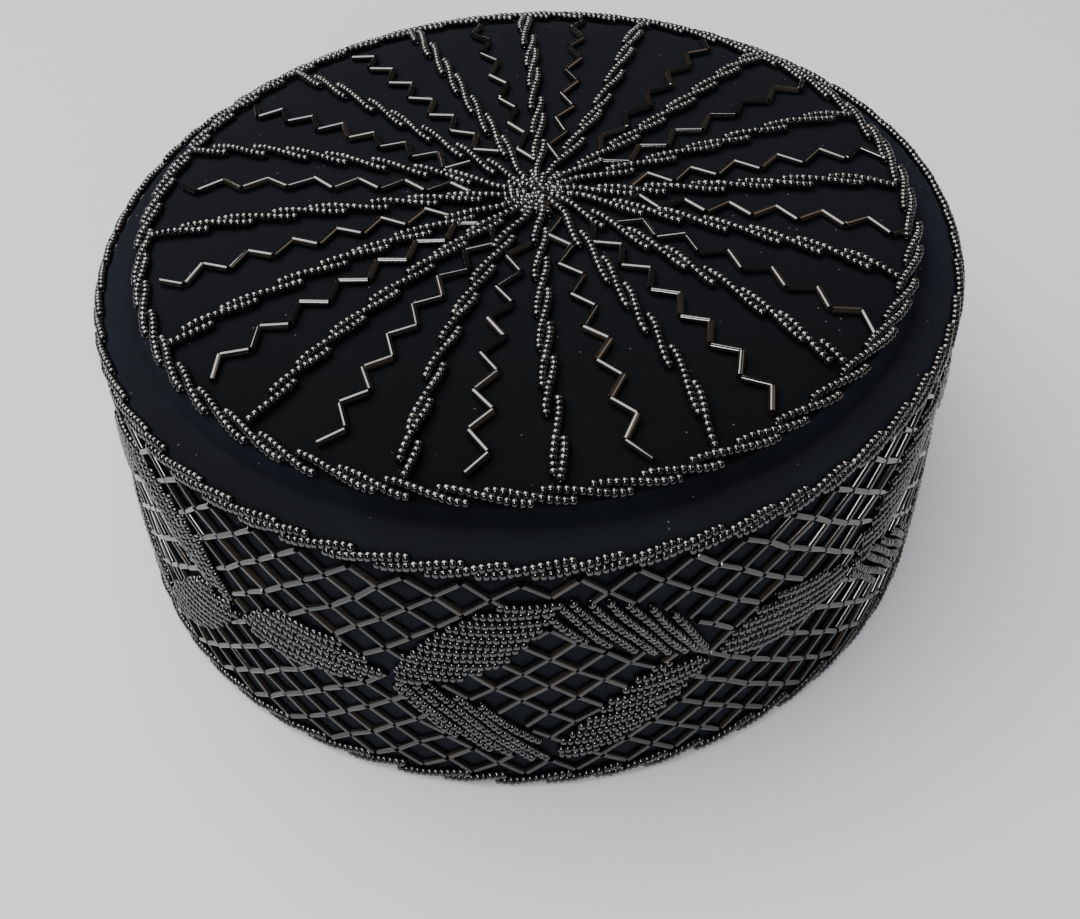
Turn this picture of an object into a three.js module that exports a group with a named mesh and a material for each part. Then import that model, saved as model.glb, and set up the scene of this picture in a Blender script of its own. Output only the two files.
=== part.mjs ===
import * as THREE from "three";

// Beaded pillbox cap in black velvet, in millimetres, +Z up, front towards -Y.
// The open rim stands on z = 0, centred on the origin.

// Velvet shell
const rimRadius = 95.5;
const edgeRadius = 91.9;
const shoulderHeight = 69.4;
const velvetThickness = 3;
const edgeChamfer = 2.3;
const shoulderWidth = 9;
const crownRise = 4.6;
const stepRun = 1.1;
const creaseDepth = 0.2;
const puffRise = 3.4;
const puffPower = 8;

// The soft cap leans a little to its left side above the rim.
const leanShift = 2.7;
const leanStart = 4;

// Beadwork
const beadGap = 0.3;
const beadHeight = 2.1;
const ropeWidth = 4.2;
const ringInset = 0.9;
const spokeWidth = 3.8;
const bugleLength = 6;
const bugleWidth = 1.6;
const stitchLength = 0.4;
const zigzagReach = 2;

// Leaf pattern on the side
const patternCount = 6;
const patternTurn = 0.8;
const wreathLevelShare = 0.493;
const wreathHalfShare = 0.354;
const wreathHalfAngle = 19.1;
const leafWidth = 13.5;
const leafTip = 1.6;
const leafFullness = 0.75;
const singleLeafWidth = 14;

// Section of a rope or leaf of beads, as shares of its half width and its height
const beadFlankWidth = 0.85;
const beadFlankHeight = 0.6;
const beadTopWidth = 0.4;

// The dense middle, as shares of its radius and its height
const middleEdgeRadius = 0.9;
const middleEdgeHeight = 0.8;
const middleTopRadius = 0.5;

// Facets
const roundSegments = 72;
const centreSegments = 24;
const leafSteps = 6;

// Where the sewn spokes run: angle of the outer end in degrees,
// and sideways bow as a share of the crown's radius.
const spokeTable = [
  { angle: 90, bow: -0.022 },
  { angle: 68.2, bow: -0.029 },
  { angle: 43.8, bow: -0.016 },
  { angle: 19.5, bow: -0.006 },
  { angle: -0.9, bow: -0.018 },
  { angle: -24.5, bow: 0.01 },
  { angle: -46.5, bow: 0.018 },
  { angle: -69, bow: 0.018 },
  { angle: -90, bow: 0 },
  { angle: -109.7, bow: -0.029 },
  { angle: -132.5, bow: -0.023 },
  { angle: -153, bow: -0.018 },
  { angle: -177.2, bow: -0.012 },
  { angle: -199.5, bow: -0.028 },
  { angle: -225.4, bow: -0.006 },
  { angle: -249, bow: -0.006 },
];

// The zigzag after each spoke: which side its outer end lies on, 1 being counterclockwise.
const zigzagSides = [-1, 1, 1, -1, 1, -1, -1, 1, -1, -1, 1, -1, -1, -1, 1, -1];

// Leaves of one wreath, counterclockwise from its top, each from one corner of the wreath to the next.
// Corners are shares of the half angle and the half height, the width is a share of leafWidth
// and the outward bow is a share of the leaf's width.
const wreathTable = [
  { half: "left", from: [0, 1], to: [-1, 0], width: 1.07, bow: 0.04 },
  { half: "left", from: [-1, 0], to: [0, -1], width: 0.96, bow: 0.05 },
  { half: "right", from: [0, -1], to: [1, 0], width: 0.93, bow: 0.11 },
  { half: "right", from: [1, 0], to: [0, 1], width: 0.96, bow: 0.14 },
];

// Where the spokes meet, off the crown's middle, as shares of the crown's radius
const spokeCentreShares = [0.033, 0.022];

// Radii of the crown's rings as shares of the crown's radius
const crownShares = [0.5, 0.75, 0.87, 0.94, 1];
const crownUnderShares = [0.5, 0.8];
const spokeBendShare = 0.3;

const crownRadius = edgeRadius - shoulderWidth;
const crownLevel = shoulderHeight + crownRise;
const creaseRadius = crownRadius + stepRun;
const panelBottom = shoulderHeight - velvetThickness;
const wallTop = panelBottom - beadGap;
const chamferBottom = shoulderHeight - edgeChamfer;
const ringRadius = crownRadius - ringInset;
const beadTop = beadHeight + beadGap;
const rimStringLevel = ropeWidth / 2;
const wreathLevel = wreathLevelShare * shoulderHeight;
const wreathHalfHeight = wreathHalfShare * shoulderHeight;

const velvet = new THREE.MeshStandardMaterial({ color: 0x0d0e13, roughness: 0.95, metalness: 0 });
const glassBead = new THREE.MeshStandardMaterial({ color: 0x17181c, roughness: 0.15, metalness: 0 });
const glassBugle = new THREE.MeshStandardMaterial({ color: 0x1f1e1d, roughness: 0.2, metalness: 0 });

const radians = THREE.MathUtils.degToRad;

// Height of the puffed crown at a distance from the cap's axis
function crownHeight(radius) {
  const share = Math.min(radius / crownRadius, 1);
  return crownLevel + puffRise * (1 - share ** puffPower);
}

// Outside radius of the wall at a height
function wallRadius(height) {
  return THREE.MathUtils.mapLinear(height, 0, chamferBottom, rimRadius, edgeRadius);
}

// A point off the wall: chart position as arc length from an angle and height, distance off the velvet
function onWall(turn, spot, lift) {
  const angle = radians(turn) + spot.x / wallRadius(wreathLevel);
  const radius = wallRadius(spot.y) + lift;
  return new THREE.Vector3(radius * Math.sin(angle), -radius * Math.cos(angle), spot.y);
}

// A point over the crown: plan position, distance above the velvet
function onCrown(spot, lift) {
  return new THREE.Vector3(spot.x, spot.y, crownHeight(spot.length()) + lift);
}

// Moves every vertex of the geometry to where a function puts it.
function reshape(geometry, place) {
  const position = geometry.attributes.position;
  const vertex = new THREE.Vector3();
  for (let i = 0; i < position.count; i++) {
    vertex.fromBufferAttribute(position, i);
    const moved = place(vertex);
    position.setXYZ(i, moved.x, moved.y, moved.z);
  }
  return geometry;
}

function leanOver(point) {
  const share = (point.z - leanStart) / (shoulderHeight - leanStart);
  point.x += leanShift * THREE.MathUtils.clamp(share, 0, 1);
  return point;
}

const cap = new THREE.Group();

function addPiece(name, geometry, material) {
  geometry.deleteAttribute("normal");
  geometry.deleteAttribute("uv");
  const mesh = new THREE.Mesh(reshape(geometry, leanOver), material);
  mesh.name = name;
  cap.add(mesh);
}

// Turns a profile of [radius, height] points about the cap's axis.
function turned(profile, segments = roundSegments) {
  const points = profile.map(([radius, height]) => new THREE.Vector2(radius, height));
  return new THREE.LatheGeometry(points, segments).rotateX(Math.PI / 2);
}

// Cross-section of a sewn rope or leaf of beads: flat below, rounded above
function beadSection(width, height, midPoint = false) {
  const half = width / 2;
  const flank = half * beadFlankWidth;
  const top = half * beadTopWidth;
  const flankHeight = height * beadFlankHeight;
  const points = [[-half, 0], [half, 0], [flank, flankHeight],
    [top, height], [-top, height], [-flank, flankHeight]];
  if (midPoint) {
    points.splice(1, 0, [0, 0]);
  }
  return points;
}

// A round rope: its section is laid on a slope of the velvet, seen in radius and height.
function roundRope(radius, height, slope) {
  const along = new THREE.Vector2(Math.cos(slope), Math.sin(slope));
  const profile = beadSection(ropeWidth, beadHeight).map(([across, up]) => {
    const lift = up + beadGap;
    return [radius + across * along.x - lift * along.y, height + across * along.y + lift * along.x];
  });
  return turned([...profile, profile[0]]);
}

// A strip of one section along the stations of a flat chart, mitred where it turns.
// Each station is a chart point and a scale of the section's width, and lay puts the chart on the cap.
function laidStrip(section, stations, lay) {
  const points = stations.map((station) => station.point);
  const sideways = points.map((point, i) => {
    const ahead = points[Math.min(i + 1, points.length - 1)];
    const behind = points[Math.max(i - 1, 0)];
    const before = leftOf(i > 0 ? point.clone().sub(behind) : ahead.clone().sub(point)).normalize();
    const after = leftOf(ahead === point ? point.clone().sub(behind) : ahead.clone().sub(point)).normalize();
    const mitre = before.clone().add(after).normalize();
    return mitre.multiplyScalar(stations[i].scale / mitre.dot(before));
  });
  const outline = new THREE.Shape(section.map(([across, up]) => new THREE.Vector2(across, up)));
  const steps = points.length - 1;
  const strip = new THREE.ExtrudeGeometry(outline, { depth: 1, steps, bevelEnabled: false });
  return reshape(strip, (vertex) => {
    const i = Math.round(vertex.z * steps);
    const spot = points[i].clone().addScaledVector(sideways[i], vertex.x);
    return lay(spot, vertex.y + beadGap);
  });
}

// Velvet wall, a closed ring with a flat rim
function sideBand() {
  const inner = (height) => wallRadius(height) - velvetThickness;
  return turned([
    [inner(0), 0],
    [wallRadius(0), 0],
    [wallRadius(leanStart), leanStart],
    [wallRadius(wallTop), wallTop],
    [inner(wallTop), wallTop],
    [inner(leanStart), leanStart],
    [inner(0), 0],
  ]);
}

// Velvet top: puffed crown, a step down to the crease, a flat shoulder and a chamfered edge
function topPanel() {
  const innerStep = crownRadius - velvetThickness;
  const under = crownUnderShares.map((share) => {
    const radius = share * crownRadius;
    return [radius, crownHeight(radius) - velvetThickness];
  });
  const crown = crownShares.map((share) => [share * crownRadius, crownHeight(share * crownRadius)]);
  return turned([
    [0, crownHeight(0) - velvetThickness],
    ...under,
    [innerStep, crownLevel - velvetThickness],
    [innerStep, panelBottom],
    [edgeRadius, panelBottom],
    [edgeRadius, chamferBottom],
    [edgeRadius - edgeChamfer, shoulderHeight],
    [creaseRadius, shoulderHeight - creaseDepth],
    ...crown.reverse(),
    [0, crownHeight(0)],
  ]);
}

function direction(angle) {
  return new THREE.Vector2(Math.cos(radians(angle)), Math.sin(radians(angle)));
}

function leftOf(vector) {
  return new THREE.Vector2(-vector.y, vector.x);
}

const spokeCentre = new THREE.Vector2(...spokeCentreShares).multiplyScalar(crownRadius);
const smallestSpokeGap = Math.min(...spokeTable.map((spoke, i) => {
  const next = spokeTable[(i + 1) % spokeTable.length];
  return THREE.MathUtils.euclideanModulo(spoke.angle - next.angle, 360);
}));

// Where the spokes start: as near the centre as their width and their clearance allow
const spokeStart = (spokeWidth + 2 * beadGap) / (2 * Math.sin(radians(smallestSpokeGap / 2)));
const centreRadius = spokeStart - beadGap;

// Distance from the spoke centre, along a direction, to where the crown ring's rope begins
function spokeReach(angle) {
  const end = ringRadius - ropeWidth / 2 - 2 * beadGap;
  const ahead = spokeCentre.dot(direction(angle));
  return Math.sqrt(end ** 2 - spokeCentre.lengthSq() + ahead ** 2) - ahead;
}

// Plan point on a spoke's centreline, at a distance from the spoke centre
function spokePoint(spoke, distance) {
  const ahead = direction(spoke.angle);
  const share = (distance - spokeStart) / (spokeReach(spoke.angle) - spokeStart);
  const bow = spoke.bow * crownRadius * Math.sin(Math.PI * THREE.MathUtils.clamp(share, 0, 1));
  return spokeCentre.clone().addScaledVector(ahead, distance).addScaledVector(leftOf(ahead), bow);
}

// Rope of beads along a spoke, with a station near each ring of the crown's facets
function spokeRope(spoke) {
  const reach = spokeReach(spoke.angle);
  const between = [spokeBendShare, ...crownShares].map((share) => share * crownRadius);
  const distances = [spokeStart, ...between.filter((d) => d > spokeStart && d < reach), reach];
  const stations = distances.map((distance) => ({ point: spokePoint(spoke, distance), scale: 1 }));
  return laidStrip(beadSection(spokeWidth, beadHeight), stations, onCrown);
}

// The dense middle where the spokes run together
function spokeMiddle() {
  const middle = turned([
    [0, beadGap],
    [centreRadius, beadGap],
    [centreRadius * middleEdgeRadius, beadTop * middleEdgeHeight],
    [centreRadius * middleTopRadius, beadTop],
    [0, beadTop],
  ], centreSegments);
  return middle.translate(spokeCentre.x, spokeCentre.y, crownHeight(0));
}

// Zigzag of bugles halfway between two spokes, from the ring's rope inwards while there is room
function zigzagString(spoke, next, firstSide) {
  const pitch = Math.sqrt((bugleLength + stitchLength) ** 2 - (2 * zigzagReach) ** 2);
  const gap = THREE.MathUtils.euclideanModulo(spoke.angle - next.angle, 360);
  const middleAngle = spoke.angle - gap / 2;
  const across = leftOf(direction(middleAngle));
  const stations = [];
  let side = firstSide;
  for (let distance = spokeReach(middleAngle) - bugleWidth; distance > 0; distance -= pitch) {
    const here = spokePoint(spoke, distance);
    const there = spokePoint(next, distance);
    const room = (here.distanceTo(there) - spokeWidth) / 2 - bugleWidth - beadGap;
    if (room < zigzagReach / 2) {
      break;
    }
    const point = here.add(there).multiplyScalar(0.5);
    point.addScaledVector(across, side * Math.min(zigzagReach, room));
    stations.push({ point, scale: 1 });
    side = -side;
  }
  const half = bugleWidth / 2;
  const section = [[-half, 0], [half, 0], [half, bugleWidth], [-half, bugleWidth]];
  return laidStrip(section, stations, onCrown);
}

// Stations of a leaf of closely laid beads on the wall's chart; a positive bow is to the right
function leafStations(from, to, width, bow) {
  const aside = leftOf(to.clone().sub(from)).normalize();
  return Array.from({ length: leafSteps + 1 }, (_, i) => {
    const swell = Math.sin(Math.PI * i / leafSteps);
    const scale = THREE.MathUtils.lerp(leafTip, width, swell ** leafFullness);
    return { point: from.clone().lerp(to, i / leafSteps).addScaledVector(aside, -bow * swell), scale };
  });
}

function beadLeaf(stations, turn) {
  const section = beadSection(1, beadHeight, true);
  return laidStrip(section, stations, (spot, lift) => onWall(turn, spot, lift));
}

// Two leaves that meet at the wreath's side tip, one body
function wreathHalf(half, turn) {
  const halfWidth = radians(wreathHalfAngle) * wallRadius(wreathLevel);
  const clear = (half === "left" ? -1 : 1) * (leafTip / 2 + beadGap);
  const corner = ([across, up]) => new THREE.Vector2(
    across === 0 ? clear : across * halfWidth,
    wreathLevel + up * wreathHalfHeight,
  );
  const leaves = wreathTable.filter((leaf) => leaf.half === half).map((leaf) => {
    const width = leaf.width * leafWidth;
    return leafStations(corner(leaf.from), corner(leaf.to), width, leaf.bow * width);
  });
  return beadLeaf([...leaves[0], ...leaves[1].slice(1)], turn);
}

addPiece("side_band", sideBand(), velvet);
addPiece("top_panel", topPanel(), velvet);

const wallSlope = Math.atan2(chamferBottom, edgeRadius - rimRadius) - Math.PI;
const chamferMiddle = edgeChamfer / 2;
const edgeSlope = -Math.PI / 4;
const ringSlope = Math.atan2(crownLevel - crownHeight(ringRadius - ropeWidth / 2),
  crownRadius - (ringRadius - ropeWidth / 2));
addPiece("crown_ring_string", roundRope(ringRadius, crownHeight(ringRadius), ringSlope), glassBead);
addPiece("top_edge_string",
  roundRope(edgeRadius - chamferMiddle, shoulderHeight - chamferMiddle, edgeSlope), glassBead);
addPiece("bottom_edge_string",
  roundRope(wallRadius(rimStringLevel + beadGap), rimStringLevel + beadGap, wallSlope), glassBead);

addPiece("spoke_centre", spokeMiddle(), glassBead);
spokeTable.forEach((spoke, i) => {
  const next = spokeTable[(i + 1) % spokeTable.length];
  const number = String(i + 1).padStart(2, "0");
  addPiece(`spoke_string_${number}`, spokeRope(spoke), glassBead);
  addPiece(`zigzag_string_${number}`, zigzagString(spoke, next, zigzagSides[i]), glassBugle);
});

const patternStep = 360 / patternCount;
const gapHalf = radians(patternStep / 2 - wreathHalfAngle) * wallRadius(wreathLevel);
const singleLeafHalf = gapHalf - leafTip - 2 * beadGap;
const singleLeafEnds = [-singleLeafHalf, singleLeafHalf].map((x) => new THREE.Vector2(x, wreathLevel));
for (let i = 0; i < patternCount; i++) {
  const turn = patternTurn + i * patternStep;
  for (const half of ["left", "right"]) {
    addPiece(`wreath_${i + 1}_${half}`, wreathHalf(half, turn), glassBead);
  }
  const stations = leafStations(...singleLeafEnds, singleLeafWidth, 0);
  addPiece(`side_leaf_${i + 1}`, beadLeaf(stations, turn + patternStep / 2), glassBead);
}

export default cap;
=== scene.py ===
# %% [markdown]
# # A beaded cap in black velvet and jet glass
# The cap is a low drum of velvet, standing on its open rim. Its top is puffed, with sixteen
# sewn ropes of seed beads that meet in the middle and a zigzag of tube beads in each field.
# Leaves of closely laid seed beads lie on its side over a net of tube beads.
# The measured solids come first: they are the frame that every piece here is fitted to.

# %% The frame
import math

import bpy
import numpy as np
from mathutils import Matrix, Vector


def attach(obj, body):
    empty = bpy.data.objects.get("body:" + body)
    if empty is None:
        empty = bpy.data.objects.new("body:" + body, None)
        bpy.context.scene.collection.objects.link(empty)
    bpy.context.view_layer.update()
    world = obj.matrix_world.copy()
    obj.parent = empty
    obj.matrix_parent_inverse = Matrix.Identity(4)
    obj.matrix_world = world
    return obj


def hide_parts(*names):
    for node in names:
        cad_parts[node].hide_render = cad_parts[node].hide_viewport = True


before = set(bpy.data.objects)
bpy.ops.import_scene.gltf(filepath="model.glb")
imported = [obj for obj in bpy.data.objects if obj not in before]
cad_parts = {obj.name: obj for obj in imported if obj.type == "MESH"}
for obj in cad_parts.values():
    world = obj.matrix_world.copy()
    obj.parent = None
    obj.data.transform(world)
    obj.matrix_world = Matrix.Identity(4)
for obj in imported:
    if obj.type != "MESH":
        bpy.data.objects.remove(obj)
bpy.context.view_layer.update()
print("frame nodes:", len(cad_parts))

# %% [markdown]
# ## The shape that everything lies on
# Every bead is sewn to velvet, so two short functions say where the velvet is: one for the
# round side wall and one for the puffed top. Each takes a place on the cloth and a lift off
# it, in millimetres. With them a pattern can be charted flat, as an embroiderer draws it,
# and then laid on the cap. The last function leans the soft cap a little to one side and
# turns millimetres into metres.

# %% Sizes of the cap, in millimetres
RIM_RADIUS = 95.5
EDGE_RADIUS = 91.9
CHAMFER_LEVEL = 67.1
SHOULDER_LEVEL = 69.4
CREASE_RADIUS = 84.0
CROWN_RADIUS = 82.9
CROWN_LEVEL = 74.0
PUFF = 3.4
PUFF_POWER = 8
CLOTH = 3.0
LEAN_START = 4.0
LEAN = 2.7
print("rim across:", 2 * RIM_RADIUS, "mm, top of the puff:", CROWN_LEVEL + PUFF, "mm")


# %% Where the velvet is
def wall_radius(level):
    """Outside radius of the side wall at a level above the rim."""
    return np.interp(level, [0, CHAMFER_LEVEL], [RIM_RADIUS, EDGE_RADIUS])


def on_wall(angle, level, lift):
    """Points off the wall. The angle is in degrees from the front, to the right."""
    turn = np.radians(angle)
    radius = wall_radius(level) + lift
    return np.stack([radius * np.sin(turn), -radius * np.cos(turn), level + 0 * turn], axis=-1)


def crown_height(radius):
    """Level of the puffed top at a distance from its middle."""
    share = np.minimum(radius / CROWN_RADIUS, 1)
    return CROWN_LEVEL + PUFF * (1 - share ** PUFF_POWER)


def on_crown(x, y, lift):
    """Points above the top, at plan positions."""
    return np.stack([x, y, crown_height(np.hypot(x, y)) + lift], axis=-1)


def leaned(points):
    """The finished place of points in metres, after the cap's slight lean."""
    points = np.array(points, float)
    share = np.clip((points[:, 2] - LEAN_START) / (SHOULDER_LEVEL - LEAN_START), 0, 1)
    points[:, 0] += LEAN * share
    return points / 1000


print("wall's radius half way up:", wall_radius(CHAMFER_LEVEL / 2), "mm")

# %% [markdown]
# ## Velvet, the cloth
# Velvet has a standing pile, so it swallows light seen from above and shows a soft gleam
# where it is seen at a low angle. A little of the shader's sheen gives that, together with
# a painted sheen: a lighter tone that Layer Weight mixes into the base colour towards the
# edges. A large noise moves the blackness a little, where the pile has been brushed, and a
# fine one makes the pile itself. Specks of lint are the nearest points of a cell pattern,
# kept only in some cells. The cap is all one velvet. The top looks the blackest, and the
# shoulder outside the ring of beads and the wall look paler and bluer in their light, so
# one function makes three copies, and the shoulder's and the wall's lighter tones are
# painted light.


# %% Velvet material
def link(tree, pairs):
    """Links (node, output) to (node, input) for each pair."""
    for (source, out), (target, into) in pairs:
        tree.links.new(source.outputs[out], target.inputs[into])


def new_material(name, colour, roughness):
    """A material with its own shader, and the place on the piece that its patterns read."""
    material = bpy.data.materials.new(name)
    material.use_nodes = True
    tree = material.node_tree
    shader = tree.nodes["Principled BSDF"]
    shader.inputs["Base Color"].default_value = (*colour, 1)
    shader.inputs["Roughness"].default_value = roughness
    place = tree.nodes.new("ShaderNodeTexCoord")
    return material, tree, shader, place


def noise(tree, place, scale, detail):
    """A noise of the given number of cells to the metre."""
    node = tree.nodes.new("ShaderNodeTexNoise")
    node.inputs["Scale"].default_value = scale
    node.inputs["Detail"].default_value = detail
    tree.links.new(place.outputs["Object"], node.inputs["Vector"])
    return node


def ramp(tree, low, high, dark, light):
    """Maps a value from low to high onto a colour from dark to light."""
    node = tree.nodes.new("ShaderNodeValToRGB")
    node.color_ramp.elements[0].position = low
    node.color_ramp.elements[1].position = high
    node.color_ramp.elements[0].color = (*dark, 1)
    node.color_ramp.elements[1].color = (*light, 1)
    return node


LINT_CELLS = 330
LINT_SIZE = 0.06
LINT_RARITY = 0.45
LINT_COLOUR = (0.09, 0.095, 0.11)


def make_velvet(name, dark, light, painted_sheen_colour):
    """Velvet between two tones, with a painted sheen tone where it is seen at a low angle."""
    material, tree, shader, place = new_material(name, dark, roughness=0.95)
    shader.inputs["Sheen Weight"].default_value = 0.03
    shader.inputs["Sheen Roughness"].default_value = 0.4
    shader.inputs["Sheen Tint"].default_value = (0.62, 0.68, 0.85, 1)
    shader.inputs["Specular IOR Level"].default_value = 0.05
    brushed = noise(tree, place, scale=38, detail=3)
    shade = ramp(tree, 0.35, 0.75, dark, light)
    # Painted sheen: Layer Weight mixes a lighter, bluer tone into the base colour where the velvet is
    # seen at a low angle.
    facing = tree.nodes.new("ShaderNodeLayerWeight")
    facing.inputs["Blend"].default_value = 0.5
    angle = tree.nodes.new("ShaderNodeMapRange")
    angle.inputs["From Min"].default_value = 0.27
    angle.inputs["From Max"].default_value = 0.43
    painted_sheen_mix = tree.nodes.new("ShaderNodeMix")
    painted_sheen_mix.data_type = "RGBA"
    painted_sheen_mix.inputs["B"].default_value = (*painted_sheen_colour, 1)
    specks = tree.nodes.new("ShaderNodeTexVoronoi")
    specks.inputs["Scale"].default_value = LINT_CELLS
    speck = tree.nodes.new("ShaderNodeMath")
    speck.operation = "LESS_THAN"
    speck.inputs[1].default_value = LINT_SIZE
    some = tree.nodes.new("ShaderNodeMath")
    some.operation = "GREATER_THAN"
    some.inputs[1].default_value = LINT_RARITY
    lint = tree.nodes.new("ShaderNodeMath")
    lint.operation = "MULTIPLY"
    mixed = tree.nodes.new("ShaderNodeMix")
    mixed.data_type = "RGBA"
    mixed.inputs["B"].default_value = (*LINT_COLOUR, 1)
    pile = noise(tree, place, scale=2600, detail=2)
    bump = tree.nodes.new("ShaderNodeBump")
    bump.inputs["Strength"].default_value = 0.35
    bump.inputs["Distance"].default_value = 0.0004
    link(tree, [
        ((brushed, "Fac"), (shade, "Fac")),
        ((place, "Object"), (specks, "Vector")),
        ((specks, "Distance"), (speck, 0)),
        ((specks, "Color"), (some, 0)),
        ((speck, 0), (lint, 0)),
        ((some, 0), (lint, 1)),
        ((lint, 0), (mixed, "Factor")),
        ((facing, "Facing"), (angle, "Value")),
        ((angle, "Result"), (painted_sheen_mix, "Factor")),
        ((shade, "Color"), (painted_sheen_mix, "A")),
        ((pile, "Fac"), (bump, "Height")),
        ((bump, "Normal"), (shader, "Normal")),
        ((painted_sheen_mix, "Result"), (mixed, "A")),
        ((mixed, "Result"), (shader, "Base Color")),
    ])
    return material


top_velvet = make_velvet(
    "top_velvet",
    dark=(0.0021, 0.0024, 0.0029),
    light=(0.0031, 0.0035, 0.0044),
    painted_sheen_colour=(0.0042, 0.0049, 0.0078))
# Painted light: the shoulder and the wall get lighter, bluer copies of the same velvet for the way
# light falls on them.
shoulder_cloth_painted_lighter = make_velvet(
    "shoulder_cloth_painted_lighter",
    dark=(0.0046, 0.0053, 0.0072),
    light=(0.0066, 0.0077, 0.0105),
    painted_sheen_colour=(0.0080, 0.0092, 0.0142))
wall_cloth_painted_lighter = make_velvet(
    "wall_cloth_painted_lighter",
    dark=(0.0076, 0.0084, 0.0112),
    light=(0.0110, 0.0122, 0.0162),
    painted_sheen_colour=(0.0110, 0.0122, 0.0162))
print("materials:", top_velvet.name, shoulder_cloth_painted_lighter.name, wall_cloth_painted_lighter.name)

# %% [markdown]
# ## The velvet wall and top
# The real cap is a strip of velvet sewn into a ring, and a round of velvet sewn over its
# upper edge and padded inside the ring of beads. Both are turned shapes, so a profile and a
# full turn give them exactly. Corners of cloth are never sharp: each corner of the top's
# edge is cut by a small curve. A slow unevenness keeps both from looking machined. It is
# the sum of a few waves round the cap, and each has its height in millimetres, how many
# times it goes up and down, where it starts, and how slowly it twists up the wall.


# %% Turning a soft profile
SWELLS = [(0.16, 3, 1.3, 40), (0.1, 7, 4.1, -25)]
SEGMENTS = 240
ON_AXIS = 0.001
LONGEST_CUT = 0.45


def soften(profile, cut):
    """Rounds the inner corners of an open profile with small curves."""
    points = [np.array(point, float) for point in profile]
    out = [points[0]]
    for before, corner, after in zip(points, points[1:], points[2:]):
        first = before - corner
        last = after - corner
        into = corner + first * min(LONGEST_CUT, cut / np.linalg.norm(first))
        away = corner + last * min(LONGEST_CUT, cut / np.linalg.norm(last))
        for share in np.linspace(0, 1, 5):
            rest = 1 - share
            out.append(rest ** 2 * into + 2 * share * rest * corner + share ** 2 * away)
    out.append(points[-1])
    return np.array(out)


def uneven(angle, level):
    """A slow, small swelling of the cloth, in millimetres."""
    return sum(height * np.sin(waves * angle + start + level / twist)
               for height, waves, start, twist in SWELLS)


def turned(name, profile, closed, swell):
    """Turns a profile of (radius, level) about the cap's axis into a mesh object."""
    angles = np.linspace(0, 2 * math.pi, SEGMENTS, endpoint=False)
    vertices, rings = [], []
    for radius, level in profile:
        if radius < ON_AXIS:
            rings.append([len(vertices)] * SEGMENTS)
            vertices.append((0, 0, level))
            continue
        rings.append(list(range(len(vertices), len(vertices) + SEGMENTS)))
        wide = radius + swell * uneven(angles, level)
        vertices += list(zip(wide * np.cos(angles), wide * np.sin(angles), [level] * SEGMENTS))
    pairs = list(zip(rings, rings[1:]))
    if closed:
        pairs.append((rings[-1], rings[0]))
    faces = []
    for low, high in pairs:
        for i in range(SEGMENTS):
            j = (i + 1) % SEGMENTS
            corners = dict.fromkeys([low[i], low[j], high[j], high[i]])
            faces.append(list(corners))
    mesh = bpy.data.meshes.new(name)
    mesh.from_pydata(leaned(vertices).tolist(), [], [face for face in faces if len(face) > 2])
    mesh.polygons.foreach_set("use_smooth", [True] * len(mesh.polygons))
    piece = bpy.data.objects.new(name, mesh)
    bpy.context.scene.collection.objects.link(piece)
    return piece


# %% Wall and top
SEAM_GAP = 0.3
RIM_ROUND = 0.5
SHOULDER_TOP_RADIUS = 86.6
SHOULDER_TURN_RADIUS = 90.7
STEP_RADIUS = 80.2
UNDER_RADIUS = 79.9
UNDER_START = 77


def velvet_wall():
    """The wall: up its outside, down its inside and round the rim."""
    top = SHOULDER_LEVEL - CLOTH - SEAM_GAP
    inner = RIM_RADIUS - CLOTH
    outside = [(wall_radius(level), level) for level in np.linspace(1, top, 12)]
    inside = [(wall_radius(level) - CLOTH, level) for level in np.linspace(top, 1, 12)]
    rim = [
        (inner, RIM_ROUND),
        (inner + RIM_ROUND, 0),
        (RIM_RADIUS - RIM_ROUND, 0),
        (RIM_RADIUS, RIM_ROUND),
    ]
    return turned("velvet_wall", outside + inside + rim, closed=True, swell=0.6)


def velvet_top():
    """The top: the puff, its step, the crease, the shoulder, and back along the underside."""
    crown = [(radius, crown_height(radius)) for radius in np.linspace(0, CROWN_RADIUS - 1, 26)]
    edge = [
        crown[-1],
        (CROWN_RADIUS, CROWN_LEVEL + 0.1),
        (CREASE_RADIUS - 0.1, SHOULDER_LEVEL - 0.2),
        (SHOULDER_TOP_RADIUS, SHOULDER_LEVEL + 0.5),
        (SHOULDER_TURN_RADIUS, SHOULDER_LEVEL + 0.1),
        (EDGE_RADIUS, SHOULDER_LEVEL - 1.1),
        (EDGE_RADIUS, SHOULDER_LEVEL - CLOTH),
        (STEP_RADIUS, SHOULDER_LEVEL - CLOTH),
        (UNDER_RADIUS, CROWN_LEVEL - CLOTH),
    ]
    under = [(radius, crown_height(radius) - CLOTH) for radius in np.linspace(UNDER_START, 0, 12)]
    profile = crown[:-1] + list(soften(edge, cut=0.9)) + under
    return turned("velvet_top", profile, closed=False, swell=0.25)


wall = velvet_wall()
top = velvet_top()
for piece, node, velvet in ((wall, "side_band", wall_cloth_painted_lighter), (top, "top_panel", top_velvet)):
    piece.data.materials.append(velvet)
    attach(piece, "root")
    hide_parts(node)
    print(piece.name, len(piece.data.polygons), "faces")

# %% The shoulder's lighter velvet, painted light, outside the puff
top.data.materials.append(shoulder_cloth_painted_lighter)
# Painted light: faces outside the puff take the lighter copy of the velvet, which lifts the shade
# that the puff and the ring of beads cast on the shoulder.
for face in top.data.polygons:
    plan = face.center.xy * 1000 - Vector((LEAN, 0))
    face.material_index = int(plan.length > CROWN_RADIUS)
print("faces of the shoulder:", sum(face.material_index for face in top.data.polygons))

# %% The two cloths
print("sheets:", wall.name, top.name)

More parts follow.
